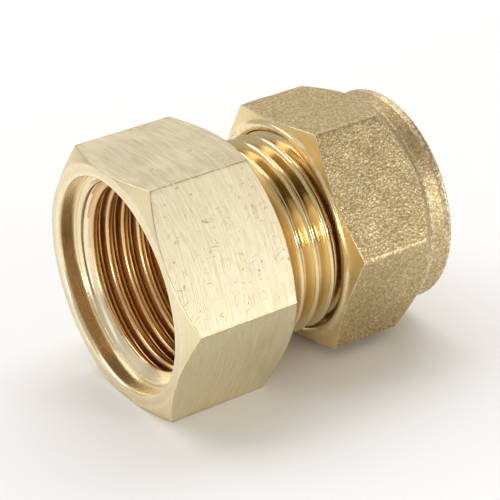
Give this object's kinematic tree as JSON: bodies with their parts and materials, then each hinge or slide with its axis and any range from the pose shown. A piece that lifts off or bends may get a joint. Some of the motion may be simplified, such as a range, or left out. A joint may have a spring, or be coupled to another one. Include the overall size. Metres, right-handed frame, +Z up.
{
  "type": "straight compression coupling",
  "caption": "Brass coupling that joins a plain copper tube, sealed by a nut squeezing an olive, to a male parallel pipe thread.",
  "frame": {"origin": "on the axis, at the shoulder inside the body that the tube stops against", "axes": "+X along the axis from the female mouth towards the tube, +Z up, square to one of the body's spanner flats"},
  "size_m": [0.0331, 0.0288, 0.025],
  "materials": {
    "machined_brass": "satin machined",
    "pressed_brass": "hot pressed and grit blasted, machined front cone",
    "olive_brass": "smooth turned"
  },
  "bodies": {
    "body": {"body": "machined_brass"},
    "olive": {"olive": "olive_brass"},
    "nut": {"compression_nut": "pressed_brass"}
  },
  "joints": [
    {"name": "olive_slide", "type": "slide", "parent": "body", "child": "olive", "axis": [1, 0, 0], "range_m": [0, 0.0059]},
    {"name": "nut_turn", "type": "hinge", "parent": "olive", "child": "nut", "pos_m": [0.0112, 0, 0], "axis": [1, 0, 0], "range_deg": [0, 1170]}
  ],
  "couplings": [
    {"joint": "olive_slide", "follows": "nut_turn", "m_per_rad": 0.00028875}
  ]
}
